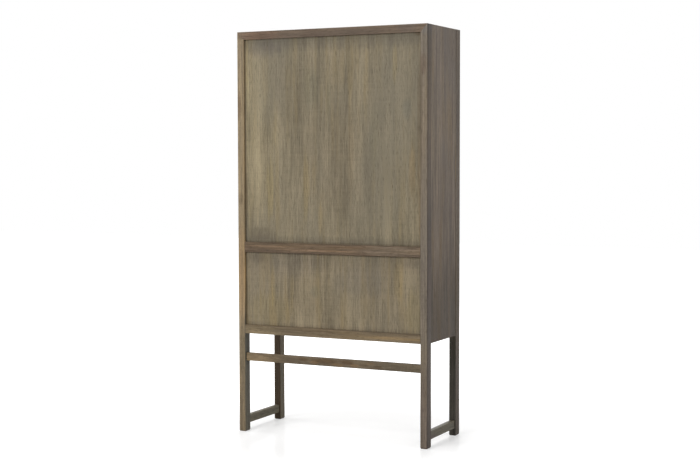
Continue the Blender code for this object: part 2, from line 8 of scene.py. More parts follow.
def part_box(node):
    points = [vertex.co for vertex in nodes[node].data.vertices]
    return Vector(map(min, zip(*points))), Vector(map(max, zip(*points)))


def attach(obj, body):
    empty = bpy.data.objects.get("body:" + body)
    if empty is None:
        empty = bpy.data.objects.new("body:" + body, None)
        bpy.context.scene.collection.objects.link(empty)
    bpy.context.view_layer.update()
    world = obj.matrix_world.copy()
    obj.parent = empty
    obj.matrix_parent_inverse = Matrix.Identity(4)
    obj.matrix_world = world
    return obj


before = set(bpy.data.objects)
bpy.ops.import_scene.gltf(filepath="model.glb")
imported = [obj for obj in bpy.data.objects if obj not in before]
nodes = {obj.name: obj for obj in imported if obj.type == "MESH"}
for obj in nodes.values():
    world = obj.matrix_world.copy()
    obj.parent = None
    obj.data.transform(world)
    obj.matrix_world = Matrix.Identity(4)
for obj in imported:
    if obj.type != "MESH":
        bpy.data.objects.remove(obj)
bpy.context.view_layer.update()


# Posts. Four posts of solid oak, 38 by 51 mm, run from the floor to the top and carry the rest.
# The oak is wire-brushed, stained grey-brown and left matt, so that its pores and streaks show.
# The node groups here, for grain, edge wear, stain and its passages, serve all of the wood.
def add_node(tree, kind, inputs=(), **options):
    """Add a node, set its options, and set or link its inputs, each by its name or number."""
    made = tree.nodes.new(kind)
    for option, value in options.items():
        setattr(made, option, value)
    for socket, value in dict(inputs).items():
        if isinstance(value, bpy.types.NodeSocket):
            tree.links.new(value, made.inputs[socket])
        else:
            made.inputs[socket].default_value = value
    return made


def calculate(tree, operation, *values):
    """The result of a Math node."""
    return add_node(tree, "ShaderNodeMath", dict(enumerate(values)), operation=operation).outputs[0]


def calculate_vector(tree, operation, *values):
    """The result of a Vector Math node."""
    return add_node(tree, "ShaderNodeVectorMath", dict(enumerate(values)),
                    operation=operation).outputs[0]


def gather(tree, operation, first, second, third):
    """Three values taken together, as their sum, their minimum or their maximum."""
    return calculate(tree, operation, calculate(tree, operation, first, second), third)


def swing(tree, value, middle, amount):
    """How far a value swings from its middle, times an amount."""
    return calculate(tree, "MULTIPLY", calculate(tree, "SUBTRACT", value, middle), amount)


def length_of(tree, vector):
    """The length of a vector."""
    return add_node(tree, "ShaderNodeVectorMath", {0: vector}, operation='LENGTH').outputs["Value"]


def speckle(tree, position, stretch, detail=2.0, roughness=0.5):
    """Noise over a position that is stretched first, as (x, y, z) features for each metre."""
    placed = calculate_vector(tree, "MULTIPLY", position, stretch)
    return add_node(tree, "ShaderNodeTexNoise", {
        "Vector": placed, "Scale": 1.0, "Detail": detail, "Roughness": roughness}).outputs[0]


def remap(tree, value, from_low, from_high, to_low=0.0, to_high=1.0):
    """A value carried smoothly from one range to another."""
    ranges = {0: value, 1: from_low, 2: from_high, 3: to_low, 4: to_high}
    return add_node(tree, "ShaderNodeMapRange", ranges, interpolation_type='SMOOTHSTEP').outputs[0]


def mix_colours(tree, factor, first, second, kind='MIX'):
    """Two colours mixed by a factor."""
    return add_node(tree, "ShaderNodeMix", {0: factor, 6: first, 7: second},
                    data_type='RGBA', blend_type=kind).outputs[2]


def new_group(name, takes, gives):
    """A node group. takes gives its inputs and their first values, and gives names its outputs."""
    group = bpy.data.node_groups.new(name, "ShaderNodeTree")
    for socket, value in takes.items():
        kind = "NodeSocketFloat"
        if not isinstance(value, float):
            kind = "NodeSocketVector" if len(value) == 3 else "NodeSocketColor"
        group.interface.new_socket(socket, in_out='INPUT', socket_type=kind).default_value = value
    for socket in gives:
        kind = "NodeSocketColor" if socket == "Colour" else "NodeSocketFloat"
        group.interface.new_socket(socket, in_out='OUTPUT', socket_type=kind)
    taken = group.nodes.new("NodeGroupInput").outputs
    given = group.nodes.new("NodeGroupOutput").inputs
    return group, taken, given


def give(tree, sockets, **values):
    """Link results to a group's outputs."""
    for socket, value in values.items():
        tree.links.new(value, sockets[socket])


def place_group(tree, group, inputs):
    """Place a node group with its inputs, and hand over its outputs."""
    return add_node(tree, "ShaderNodeGroup", inputs, node_tree=group).outputs


def pass_on(taken, names):
    """The inputs of a group that go on to a group inside it."""
    return {name: taken[name] for name in names}


# The grain runs along Z of its position, round the pith of the tree on the Z axis. The growth rings
# sway a little, darken outwards and end sharply, and the pores lie in the early wood.
GRAIN_DEFAULTS = {"Ring Width": 0.0036, "Waviness": 0.010, "Streak Scale": (62, 62, 2.8)}
grain_tree, taken, given = new_group(
    "oak grain", {"Position": (0, 0, 0), **GRAIN_DEFAULTS},
    ("Rings", "Bands", "Streaks", "Swathes", "Lines", "Pores", "Drift"))
slow = calculate_vector(grain_tree, "MULTIPLY", taken["Position"], (5.0, 5.0, 1.3))
sway = add_node(grain_tree, "ShaderNodeTexNoise", {
    "Vector": slow, "Scale": 1.0, "Detail": 2.0}).outputs[1]
sway = calculate_vector(grain_tree, "SUBTRACT", sway, (0.5, 0.5, 0.5))
sway = add_node(grain_tree, "ShaderNodeVectorMath", {0: sway, 3: taken["Waviness"]},
                operation='SCALE').outputs[0]
swayed = calculate_vector(grain_tree, "ADD", taken["Position"], sway)
around = calculate_vector(grain_tree, "MULTIPLY", swayed, (1.0, 1.0, 0.0))
ring = calculate(grain_tree, "DIVIDE", length_of(grain_tree, around), taken["Ring Width"])
phase = calculate(grain_tree, "FRACT", ring)
late = remap(grain_tree, phase, 0.45, 0.90)
fade = remap(grain_tree, phase, 0.93, 1.0, 1.0, 0.0)
rings = calculate(grain_tree, "MULTIPLY", late, fade)
ring_count = calculate(grain_tree, "MULTIPLY", ring, 0.45)
bands = add_node(grain_tree, "ShaderNodeTexNoise", {"W": ring_count, "Scale": 1.0, "Detail": 3.0},
                 noise_dimensions='1D').outputs[0]
pits = remap(grain_tree, speckle(grain_tree, taken["Position"], (950, 950, 30), 1.0), 0.56, 0.66)
early = remap(grain_tree, rings, 0.0, 1.0, 1.0, 0.20)
give(grain_tree, given, Rings=rings, Bands=bands,
     Streaks=speckle(grain_tree, taken["Position"], taken["Streak Scale"], 4.0, 0.6),
     Swathes=speckle(grain_tree, taken["Position"], (15, 15, 1.5), 3.0),
     Lines=speckle(grain_tree, taken["Position"], (330, 330, 8), 3.0),
     Pores=calculate(grain_tree, "MULTIPLY", pits, early),
     Drift=speckle(grain_tree, taken["Position"], (3.4, 3.4, 1.1), 2.0))

# How near a point is to an edge of a box: 1 on the edge, and 0 from some ragged width away from it.
# On an edge, two of the three depths under the faces are small, so the second smallest tells.
EDGE_BOX = ("Position", "Low", "High")
edge_tree, taken, given = new_group(
    "edge wear", {"Position": (0, 0, 0), "Low": (0, 0, 0), "High": (1, 1, 1), "Width": 0.004},
    ("Edge",))
inside = calculate_vector(
    edge_tree, "MINIMUM", calculate_vector(edge_tree, "SUBTRACT", taken["Position"], taken["Low"]),
    calculate_vector(edge_tree, "SUBTRACT", taken["High"], taken["Position"]))
depths = add_node(edge_tree, "ShaderNodeSeparateXYZ", {0: inside}).outputs
nearest = gather(edge_tree, "MINIMUM", *depths)
farthest = gather(edge_tree, "MAXIMUM", *depths)
second = calculate(edge_tree, "SUBTRACT", gather(edge_tree, "ADD", *depths), nearest)
second = calculate(edge_tree, "SUBTRACT", second, farthest)
ragged = speckle(edge_tree, taken["Position"], (70, 70, 70), 4.0, 0.6)
ragged = calculate(edge_tree, "MULTIPLY", ragged, 2.0)
reach = calculate(edge_tree, "MULTIPLY", taken["Width"], ragged)
give(edge_tree, given, Edge=remap(edge_tree, second, 0.0, reach, 1.0, 0.0))

# The stain over the grain: dark and light streaks, broad swathes, golden and grey passages, marks
# of the cloth that wiped it across the grain, filled pores and rubbed edges
stain_tree, taken, given = new_group(
    "drifted stain", {
        "Position": (0, 0, 0), "Grain": (0, 0, 0),
        "Dark": (0.1, 0.1, 0.1, 1), "Light": (0.3, 0.3, 0.3, 1),
        "Golden": (0.3, 0.2, 0.1, 1), "Grey": (0.2, 0.2, 0.2, 1),
        "Streaking": 1.0, "Swathing": 1.0, "Figure": 1.0, "Wiping": 0.4,
        "Gilding": 0.5, "Greying": 0.5, **GRAIN_DEFAULTS,
        "Low": (0, 0, 0), "High": (1, 1, 1), "Rub": 0.4},
    ("Colour", "Roughness", "Height"))
grain = place_group(stain_tree, grain_tree, {
    "Position": taken["Grain"], **pass_on(taken, GRAIN_DEFAULTS)})
streaks = calculate(stain_tree, "MULTIPLY_ADD", grain["Lines"], 0.5, grain["Streaks"])
streaks = swing(stain_tree, streaks, 0.75, taken["Streaking"])
swathes = swing(stain_tree, grain["Swathes"], 0.5, taken["Swathing"])
figure = calculate(stain_tree, "MULTIPLY_ADD", grain["Rings"], -0.30, grain["Bands"])
figure = swing(stain_tree, figure, 0.42, taken["Figure"])
wiped = speckle(stain_tree, taken["Grain"], (9, 9, 150), 2.0)
wiped = swing(stain_tree, wiped, 0.5, taken["Wiping"])
tone = gather(stain_tree, "ADD", streaks, figure, 0.5)
tone = gather(stain_tree, "ADD", swathes, wiped, tone)
colour = mix_colours(stain_tree, tone, taken["Dark"], taken["Light"])
golden = remap(stain_tree, speckle(stain_tree, taken["Grain"], (24, 24, 1.7), 3.0, 0.6), 0.48, 0.70)
golden = calculate(stain_tree, "MULTIPLY", golden, taken["Gilding"])
colour = mix_colours(stain_tree, golden, colour, taken["Golden"])
grey = remap(stain_tree, grain["Drift"], 0.46, 0.68)
grey = calculate(stain_tree, "MULTIPLY", grey, taken["Greying"])
colour = mix_colours(stain_tree, grey, colour, taken["Grey"])
pore_dark = remap(stain_tree, grain["Pores"], 0.0, 1.0, 1.0, 0.50)
colour = mix_colours(stain_tree, 1.0, colour, pore_dark, 'MULTIPLY')
edge = place_group(stain_tree, edge_tree, pass_on(taken, EDGE_BOX))
rubbed = calculate(stain_tree, "MULTIPLY", edge["Edge"], taken["Rub"])
colour = mix_colours(stain_tree, rubbed, colour, taken["Light"])
rough = calculate(stain_tree, "MULTIPLY_ADD", grain["Streaks"], 0.22, 0.47)
rough = calculate(stain_tree, "MULTIPLY_ADD", grain["Pores"], 0.15, rough)
sunk = calculate(stain_tree, "MULTIPLY_ADD", grain["Pores"], -0.9, grain["Rings"])
height = calculate(stain_tree, "MULTIPLY_ADD", grain["Lines"], 0.8, sunk)
give(stain_tree, given, Colour=colour, Roughness=rough, Height=height)

# One passage of the board where the stain took lighter, darker, warmer or greyer, or where shade
# or light is painted into its colour: 1 inside and 0 outside, with an edge that runs out along the
# fibres
passage_tree, taken, given = new_group(
    "stain and painted shade passage", {
        "Position": (0, 0, 0), "Grain": (0, 0, 0), "Centre": (0, 0, 0), "Reach": (1, 1, 1)},
    ("Passage",))
offset = calculate_vector(passage_tree, "SUBTRACT", taken["Position"], taken["Centre"])
offset = calculate_vector(passage_tree, "DIVIDE", offset, taken["Reach"])
fibres = speckle(passage_tree, taken["Grain"], (110, 110, 5), 3.0, 0.6)
fibres = calculate(passage_tree, "SUBTRACT", fibres, 0.5)
distance = calculate(passage_tree, "MULTIPLY_ADD", fibres, 1.3, length_of(passage_tree, offset))
give(passage_tree, given, Passage=remap(passage_tree, distance, 0.45, 1.15, 1.0, 0.0))

GRAIN_TURNS = {
    "x": Matrix.Rotation(math.radians(-90), 3, 'Y'),
    "y": Matrix.Rotation(math.radians(90), 3, 'X'),
    "z": Matrix.Identity(3),
}
SEED_STEP = 0.731
BRUSHED_DEPTH = 0.00035
OAK_SPECULAR = 0.22


def shade(colour, factor):
    """A colour made lighter or darker, with the alpha that a socket wants."""
    return (*[channel * factor for channel in colour], 1.0)


TONE_SPREAD = 0.36


def stain_of(colour, **changes):
    """The values of the stain group for a finish around one colour."""
    red, green, blue = colour
    values = {
        "Dark": shade(colour, 1 - TONE_SPREAD),
        "Light": shade(colour, 1 + TONE_SPREAD),
        "Golden": shade((red * 1.06, green * 0.98, blue * 0.78), 1.04),
        "Grey": shade((red * 0.88, green * 0.93, blue * 1.04), 0.92),
        "Streaking": 2.0,
        "Swathing": 1.2,
        "Figure": 1.0,
        "Wiping": 0.35,
        "Gilding": 0.55,
        "Greying": 0.55,
    }
    values.update(changes)
    return values


def coat(node, material):
    """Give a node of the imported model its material."""
    nodes[node].data.materials.clear()
    nodes[node].data.materials.append(material)


def finish_oak(node, grain_axis, pith, lean, seed, stain, passages=()):
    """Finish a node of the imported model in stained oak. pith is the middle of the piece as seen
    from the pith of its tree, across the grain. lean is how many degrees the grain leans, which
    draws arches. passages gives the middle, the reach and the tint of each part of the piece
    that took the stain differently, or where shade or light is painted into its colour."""
    low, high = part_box(node)
    material = bpy.data.materials.new(node + "_oak")
    material.use_nodes = True
    tree = material.node_tree
    surface = tree.nodes["Principled BSDF"]
    surface.inputs["Specular IOR Level"].default_value = OAK_SPECULAR
    place = add_node(tree, "ShaderNodeTexCoord").outputs["Object"]
    turn = Matrix.Rotation(math.radians(lean), 3, 'X') @ GRAIN_TURNS[grain_axis]
    start = Vector((*pith, seed * SEED_STEP)) - turn @ ((low + high) / 2)
    turned = add_node(tree, "ShaderNodeMapping", {
        "Vector": place, "Location": start, "Rotation": turn.to_euler()}).outputs[0]
    stained = place_group(tree, stain_tree, {
        "Position": place, "Grain": turned, "Low": low, "High": high, **stain})
    colour = stained["Colour"]
    for centre, reach, tint in passages:
        passage = place_group(tree, passage_tree, {
            "Position": place, "Grain": turned, "Centre": centre, "Reach": reach})
        colour = mix_colours(tree, passage["Passage"], colour, (*tint, 1.0), 'MULTIPLY')
    tree.links.new(colour, surface.inputs["Base Color"])
    tree.links.new(stained["Roughness"], surface.inputs["Roughness"])
    bump = add_node(tree, "ShaderNodeBump", {
        "Height": stained["Height"], "Strength": 0.5, "Distance": BRUSHED_DEPTH}).outputs[0]
    tree.links.new(bump, surface.inputs["Normal"])
    coat(node, material)


def on_back(x, z, half_width, half_height, tint):
    """A passage on a piece of the back, which goes through its whole thickness."""
    return (x, 0.2, z), (half_width, 1.0, half_height), tint


# Where the passages lie that colour one face of a post and go no deeper than its skin
LEFT_FACE = -0.5495
RIGHT_INNER_FACE = 0.5105
FRONT_FACE = -0.202
FRONT_FRAME_BACK = -0.1505
SKIN = 0.0035
ENDLESS = 9.0
# Painted light on the front faces of the front posts, lifting them out of the painted shade in
# those posts' colours
FRONT_FACE_PAINTED_LIGHT = ((0.0, FRONT_FACE, 1.0), (ENDLESS, SKIN, ENDLESS), (1.62, 1.62, 1.52))

# For each post its colour, its place from the pith, the lean of its grain, its seed and its
# passages. The tables further down go the same way, some with changes to the stain as well.
POSTS = {
    "rear_right_post": ((0.318, 0.243, 0.147), (0.11, 0.07), 0.4, 3, [
        on_back(0.530, 2.125, 0.090, 0.032, (0.64, 0.60, 0.62)),
        on_back(0.545, 1.74, 0.030, 0.075, (0.68, 0.64, 0.62)),
        on_back(0.535, 1.25, 0.020, 0.040, (0.82, 0.80, 0.78)),
        on_back(0.530, 0.85, 0.030, 0.300, (1.12, 1.02, 0.93)),
        on_back(0.530, 0.10, 0.060, 0.400, (0.92, 0.92, 0.94)),
        on_back(0.530, 0.47, 0.050, 0.150, (0.82, 0.84, 0.88)),
        # Painted shade on the inner face of the leg, under the cabinet
        ((RIGHT_INNER_FACE, 0.20, 0.25), (SKIN, 0.5, 0.60), (0.50, 0.59, 0.72)),
        # Painted light in the shaded recess beside the back panel, on the same inner face
        ((RIGHT_INNER_FACE, 0.20, 0.77), (0.0045, 0.5, 0.17), (1.50, 1.45, 1.35)),
    ]),
    "rear_left_post": ((0.216, 0.177, 0.132), (-0.12, 0.06), -0.3, 7, [
        on_back(-0.523, 1.94, 0.030, 0.060, (0.88, 0.82, 0.80)),
        on_back(-0.523, 1.50, 0.030, 0.520, (1.14, 1.10, 1.03)),
        on_back(-0.535, 2.12, 0.030, 0.045, (0.98, 1.02, 1.12)),
        on_back(-0.530, 0.85, 0.030, 0.250, (1.08, 1.08, 1.10)),
        # Painted shade, darker down the leg towards the floor
        on_back(-0.530, 0.10, 0.060, 0.400, (0.77, 0.74, 0.77)),
        # Painted shade along the inner edge beside the back panel's recess
        on_back(-0.515, 1.65, 0.006, 0.450, (0.70, 0.69, 0.67)),
        # Painted shade over the outer side face, deepened lower down and lifted higher up by the
        # next two passages
        ((LEFT_FACE, 0.20, 1.00), (SKIN, 0.5, 3.00), (0.46, 0.45, 0.47)),
        ((LEFT_FACE, 0.20, 0.88), (SKIN, 0.5, 0.34), (0.89, 0.84, 0.84)),
        ((LEFT_FACE, 0.20, 1.55), (SKIN, 0.5, 0.42), (1.28, 1.25, 1.20)),
        # A painted shadow line on the outer side face along its back corner
        ((LEFT_FACE, 0.226, 1.30), (SKIN, 0.021, ENDLESS), (0.74, 0.73, 0.73)),
    ]),
    # Painted shade: the colours of both front posts are darker than the rest of the frame, for the
    # cabinet's shadow over the legs
    "front_right_post": ((0.139, 0.113, 0.082), (0.09, -0.10), 0.3, 12, [
        # Painted shadow on the back face of the leg, under the cabinet
        ((0.53, FRONT_FRAME_BACK, 0.25), (0.5, SKIN, 0.60), (0.42, 0.32, 0.21)),
        # Painted light on the inner face of the leg
        ((RIGHT_INNER_FACE, -0.18, 0.25), (SKIN, 0.5, 0.60), (1.30, 1.30, 1.18)),
        FRONT_FACE_PAINTED_LIGHT,
    ]),
    "front_left_post": ((0.129, 0.104, 0.081), (-0.10, -0.09), -0.4, 16, [
        # Painted shade over the lower post and the leg, deepest at the foot
        ((-0.55, -0.18, 0.40), (0.5, 0.5, 0.80), (0.60, 0.56, 0.50)),
        ((-0.55, -0.18, 0.08), (0.5, 0.5, 0.46), (0.74, 0.73, 0.73)),
        ((-0.53, FRONT_FRAME_BACK, 0.25), (0.5, SKIN, 0.60), (1.03, 1.23, 1.40)),
        ((LEFT_FACE, -0.153, 1.35), (SKIN, 0.011, 0.75), (1.36, 1.36, 1.36)),
        FRONT_FACE_PAINTED_LIGHT,
    ]),
}
for post, (colour, pith, lean, seed, passages) in POSTS.items():
    finish_oak(post, "z", pith, lean, seed, stain_of(colour, Rub=0.5), passages)

# Rails. The top, middle and bottom rails of both frames are solid oak with the grain along them.
# The middle and bottom rails are tenoned into the posts, and the top rails are mitred to them.
RAILS = {
    "rear_top_rail": ((0.146, 0.104, 0.070), (0.10, 0.09), 0.5, 21, {
        "Gilding": 0.3, "Streaking": 2.6, "Swathing": 1.8}, [
        on_back(0.400, 2.110, 0.120, 0.040, (1.08, 0.98, 0.94)),
        on_back(0.100, 2.110, 0.070, 0.040, (0.88, 0.86, 0.86)),
        on_back(-0.440, 2.120, 0.060, 0.030, (0.88, 0.92, 1.00)),
        on_back(0.500, 2.115, 0.080, 0.040, (1.20, 1.20, 1.22)),
    ]),
    "rear_middle_rail": ((0.174, 0.121, 0.077), (0.004, 0.075), 1.2, 24, {
        "Figure": 0.8, "Streaking": 3.6, "Swathing": 0.4, "Streak Scale": (120, 120, 4.0)}, [
        on_back(0.400, 0.996, 0.260, 0.040, (0.87, 0.87, 0.86)),
        on_back(0.330, 1.002, 0.240, 0.0055, (1.34, 1.28, 1.20)),
        on_back(0.100, 0.986, 0.280, 0.0060, (1.38, 1.32, 1.25)),
        on_back(0.300, 0.992, 0.300, 0.0040, (0.80, 0.76, 0.72)),
        on_back(-0.100, 1.008, 0.160, 0.0050, (0.86, 0.82, 0.80)),
        on_back(-0.350, 0.996, 0.200, 0.040, (1.05, 1.12, 1.19)),
        # Painted shade in thin dark lines along the rail's top and bottom edges
        on_back(0.000, 1.0215, ENDLESS, 0.0055, (0.72, 0.71, 0.70)),
        on_back(0.000, 0.9730, ENDLESS, 0.0090, (0.87, 0.86, 0.86)),
    ]),
    "rear_bottom_rail": ((0.218, 0.165, 0.101), (-0.012, 0.095), 0.7, 28, {"Gilding": 0.8}, [
        on_back(0.420, 0.550, 0.140, 0.040, (1.33, 1.33, 1.25)),
        on_back(-0.340, 0.552, 0.220, 0.0090, (1.22, 1.15, 1.02)),
        on_back(0.200, 0.566, 0.200, 0.0070, (0.80, 0.78, 0.76)),
        on_back(-0.120, 0.566, 0.400, 0.0090, (0.86, 0.84, 0.82)),
        # A painted shade line along the rail's top edge
        on_back(0.000, 0.5785, ENDLESS, 0.0060, (0.66, 0.64, 0.64)),
    ]),
    "front_top_rail": ((0.205, 0.160, 0.112), (0.09, -0.10), -0.5, 31, {}, []),
    "front_middle_rail": ((0.212, 0.164, 0.112), (0.006, -0.08), 1.0, 35, {"Figure": 1.2}, []),
    "front_bottom_rail": ((0.208, 0.161, 0.111), (-0.01, -0.09), 0.6, 38, {"Figure": 0.9}, []),
}
for rail, (colour, pith, lean, seed, changes, passages) in RAILS.items():
    finish_oak(rail, "x", pith, lean, seed, stain_of(colour, Rub=0.35, **changes), passages)

# Stretchers. One bar of solid oak ties the rear legs together, and a lower one ties the legs of
# each side. They are tenoned into the legs.
STRETCHERS = {
    "rear_stretcher": ("x", (0.175, 0.131, 0.081), (0.004, 0.060), 1.6, 41, [
        on_back(0.430, 0.404, 0.150, 0.060, (1.30, 1.27, 1.20)),
        on_back(0.030, 0.408, 0.090, 0.016, (0.74, 0.64, 0.55)),
        on_back(-0.040, 0.396, 0.040, 0.010, (1.30, 1.15, 0.95)),
        on_back(-0.090, 0.410, 0.050, 0.014, (0.66, 0.57, 0.50)),
        on_back(0.100, 0.398, 0.030, 0.009, (1.26, 1.10, 0.92)),
        on_back(0.165, 0.410, 0.034, 0.010, (0.74, 0.66, 0.60)),
        on_back(-0.135, 0.396, 0.030, 0.009, (1.24, 1.10, 0.94)),
        on_back(-0.230, 0.412, 0.028, 0.008, (1.16, 1.06, 0.95)),
        on_back(-0.190, 0.402, 0.034, 0.010, (0.70, 0.66, 0.62)),
        on_back(-0.270, 0.398, 0.030, 0.010, (0.72, 0.66, 0.60)),
        on_back(-0.400, 0.404, 0.200, 0.060, (0.80, 0.84, 0.88)),
    ]),
    "left_foot_stretcher": ("y", (0.141, 0.126, 0.093), (0.08, 0.07), 0.6, 45, [
        ((-0.53, 0.17, 0.045), (0.5, 0.090, 0.030), (0.82, 0.74, 0.82)),
    ]),
    # Painted light: this stretcher's colour is lighter than the left one's, for its inner face in
    # the shade under the cabinet
    "right_foot_stretcher": ("y", (0.217, 0.186, 0.122), (-0.08, 0.07), 0.5, 49, []),
}
for stretcher, (axis, colour, pith, lean, seed, passages) in STRETCHERS.items():
    stain = stain_of(colour, Figure=1.2, Waviness=0.016)
    finish_oak(stretcher, axis, pith, lean, seed, stain, passages)

# Panels. The two back panels are let into grooves of the rear frame and the two side panels are
# tongued into the posts. All are veneered in oak with upright grain.
PANEL_STAIN = {
    "Figure": 0.3, "Streaking": 1.4, "Swathing": 1.9, "Wiping": 0.3, "Rub": 0.0,
    "Streak Scale": (120, 120, 7)}
SIDE_PANEL_CHANGES = {
    "Rub": 0.2, "Streaking": 4.4, "Swathing": 2.4, "Wiping": 0.1, "Gilding": 0.9, "Greying": 0.8,
    "Streak Scale": (44, 44, 1.0)}
PANELS = {
    "upper_back_panel": ((0.244, 0.203, 0.132), (0.32, 0.20), 0.2, 53, {}, [
        on_back(0.000, 1.850, 0.360, 0.300, (0.91, 0.91, 0.92)),
        on_back(-0.020, 1.450, 0.260, 0.300, (0.93, 0.92, 0.92)),
        on_back(-0.380, 1.150, 0.200, 0.200, (1.10, 1.10, 1.09)),
        on_back(0.445, 1.600, 0.140, 0.640, (1.24, 1.23, 1.18)),
        on_back(0.360, 1.300, 0.026, 0.170, (1.09, 1.05, 0.90)),
        on_back(0.145, 1.320, 0.022, 0.200, (1.10, 1.05, 0.91)),
        on_back(0.060, 1.150, 0.014, 0.090, (1.12, 1.07, 0.95)),
        on_back(-0.364, 1.940, 0.016, 0.120, (1.12, 1.08, 0.96)),
        on_back(-0.115, 1.530, 0.020, 0.320, (1.14, 1.11, 1.07)),
        on_back(-0.070, 1.930, 0.018, 0.120, (1.12, 1.09, 1.02)),
        on_back(-0.461, 1.400, 0.022, 0.140, (1.11, 1.03, 0.92)),
        on_back(-0.502, 1.560, 0.016, 0.640, (0.88, 0.83, 0.79)),
        # Painted light along the +X edge, where the post's shadow falls, in this and the next
        # passage
        on_back(0.498, 1.560, 0.015, ENDLESS, (1.18, 1.18, 1.16)),
        on_back(0.487, 1.800, 0.016, 0.220, (1.20, 1.20, 1.18)),
        # Painted shade in dark lines along the panel's side edges at the posts, in the next three
        # passages
        on_back(0.503, 1.250, 0.009, 0.280, (0.78, 0.76, 0.76)),
        on_back(0.509, 1.560, 0.0065, ENDLESS, (0.52, 0.50, 0.50)),
        on_back(-0.508, 1.560, 0.008, ENDLESS, (0.66, 0.64, 0.62)),
        on_back(0.110, 1.830, 0.060, 0.130, (0.90, 0.93, 0.94)),
        on_back(0.010, 1.750, 0.016, 0.160, (0.90, 0.92, 0.92)),
        on_back(-0.250, 1.560, 0.030, 0.200, (0.92, 0.94, 0.94)),
        on_back(-0.430, 1.715, 0.026, 0.060, (0.86, 0.89, 0.93)),
        on_back(0.420, 1.070, 0.100, 0.040, (0.78, 0.76, 0.76)),
        on_back(0.390, 2.040, 0.110, 0.055, (0.84, 0.84, 0.90)),
        # Painted shade in the corner under the top rail
        on_back(-0.495, 2.088, 0.024, 0.014, (0.74, 0.66, 0.60)),
        # Painted shade under the top rail, with a thin line of painted light inside it
        on_back(0.000, 2.100, ENDLESS, 0.085, (0.76, 0.77, 0.81)),
        on_back(0.000, 2.092, ENDLESS, 0.004, (1.20, 1.20, 1.20)),
        on_back(0.000, 2.079, ENDLESS, 0.009, (0.90, 0.90, 0.90)),
        # Painted shade along the bottom edge above the middle rail
        on_back(0.000, 1.020, ENDLESS, 0.042, (0.82, 0.82, 0.84)),
        on_back(0.000, 1.021, ENDLESS, 0.012, (0.82, 0.80, 0.78)),
    ]),
    "lower_back_panel": ((0.278, 0.226, 0.146), (-0.30, 0.22), -0.2, 57, {
        "Gilding": 0.7, "Streaking": 1.4, "Swathing": 2.2, "Wiping": 0.40}, [
        on_back(0.360, 0.660, 0.150, 0.110, (1.05, 1.03, 0.92)),
        on_back(0.200, 0.910, 0.180, 0.080, (0.91, 0.92, 0.97)),
        on_back(-0.180, 0.830, 0.200, 0.090, (0.89, 0.90, 0.95)),
        on_back(-0.385, 0.850, 0.030, 0.140, (1.13, 1.09, 0.97)),
        on_back(-0.470, 0.680, 0.050, 0.140, (1.12, 1.09, 0.96)),
        on_back(0.345, 0.800, 0.012, 0.130, (1.10, 1.07, 0.96)),
        on_back(0.230, 0.760, 0.012, 0.120, (1.10, 1.07, 0.97)),
        on_back(0.090, 0.770, 0.035, 0.035, (0.86, 0.89, 0.92)),
        on_back(0.000, 0.770, 0.240, 0.240, (0.91, 0.91, 0.90)),
        on_back(0.440, 0.940, 0.060, 0.035, (0.86, 0.85, 0.86)),
        on_back(-0.460, 0.940, 0.060, 0.035, (0.82, 0.82, 0.84)),
        # Painted shade along the bottom edge above the bottom rail
        on_back(0.000, 0.575, ENDLESS, 0.028, (0.93, 0.92, 0.93)),
        on_back(0.000, 0.577, ENDLESS, 0.006, (0.74, 0.72, 0.70)),
        # Painted shade along the top edge under the middle rail
        on_back(0.000, 0.972, ENDLESS, 0.100, (0.85, 0.85, 0.86)),
        on_back(0.000, 0.972, ENDLESS, 0.010, (0.98, 0.95, 0.92)),
        # Painted shade in dark lines along the side edges at the posts
        on_back(0.508, 0.770, 0.007, ENDLESS, (0.50, 0.48, 0.45)),
        on_back(-0.508, 0.770, 0.008, ENDLESS, (0.78, 0.76, 0.74)),
    ]),
    "left_side_panel": ((0.190, 0.153, 0.120), (0.20, 0.30), 0.2, 61, SIDE_PANEL_CHANGES, [
        # Darker towards the bottom
        ((-0.547, 0.0, 0.45), (1.0, 2.0, 0.50), (0.54, 0.52, 0.48)),
        ((-0.547, 0.0, 0.35), (1.0, 2.0, 1.15), (0.72, 0.69, 0.66)),
        # Lighter towards the top
        ((-0.547, 0.0, 1.70), (1.0, 2.0, 0.26), (1.10, 1.09, 1.06)),
        ((-0.547, 0.11, 1.50), (1.0, 0.070, 0.32), (1.16, 1.15, 1.11)),
        ((-0.547, 0.172, 1.95), (1.0, 0.012, 0.30), (0.82, 0.84, 0.88)),
        ((-0.547, -0.148, 1.35), (1.0, 0.012, 0.75), (1.20, 1.20, 1.20)),
    ]),
    "right_side_panel": ((0.205, 0.170, 0.134), (-0.20, 0.30), -0.2, 65, SIDE_PANEL_CHANGES, []),
}
for panel, (colour, pith, lean, seed, changes, passages) in PANELS.items():
    stain = stain_of(colour, **{**PANEL_STAIN, **changes})
    finish_oak(panel, "z", pith, lean, seed, stain, passages)

# Boards. The top, the bar counter, the floor, the partition and the shelves are oak boards, sanded
# smoother than the outside. They lie between the frames, and the shelves are housed in the sides.
BOARD_STAIN = stain_of((0.275, 0.222, 0.156), Streaking=0.8, Swathing=0.8, Wiping=0.1, Rub=0.3)
BOARD_PITH = (0.12, 0.16)
BOARD_LEAN = 0.4
BOARDS = {
    "top_panel": ("x", 71), "bar_counter": ("x", 73), "cabinet_floor": ("x", 76),
    "low_shelf": ("x", 79), "high_shelf": ("x", 83), "centre_partition": ("z", 89),
}
for board, (axis, seed) in BOARDS.items():
    finish_oak(board, axis, BOARD_PITH, BOARD_LEAN, seed, BOARD_STAIN)

# Stemware rack. Oak slats on spacers hang under the lower shelf, so that the feet of glasses slide
# in over them. Brass screws with slotted heads go up through each slat into its spacer.
finish_oak("stemware_rack", "y", BOARD_PITH, BOARD_LEAN, 86, BOARD_STAIN)

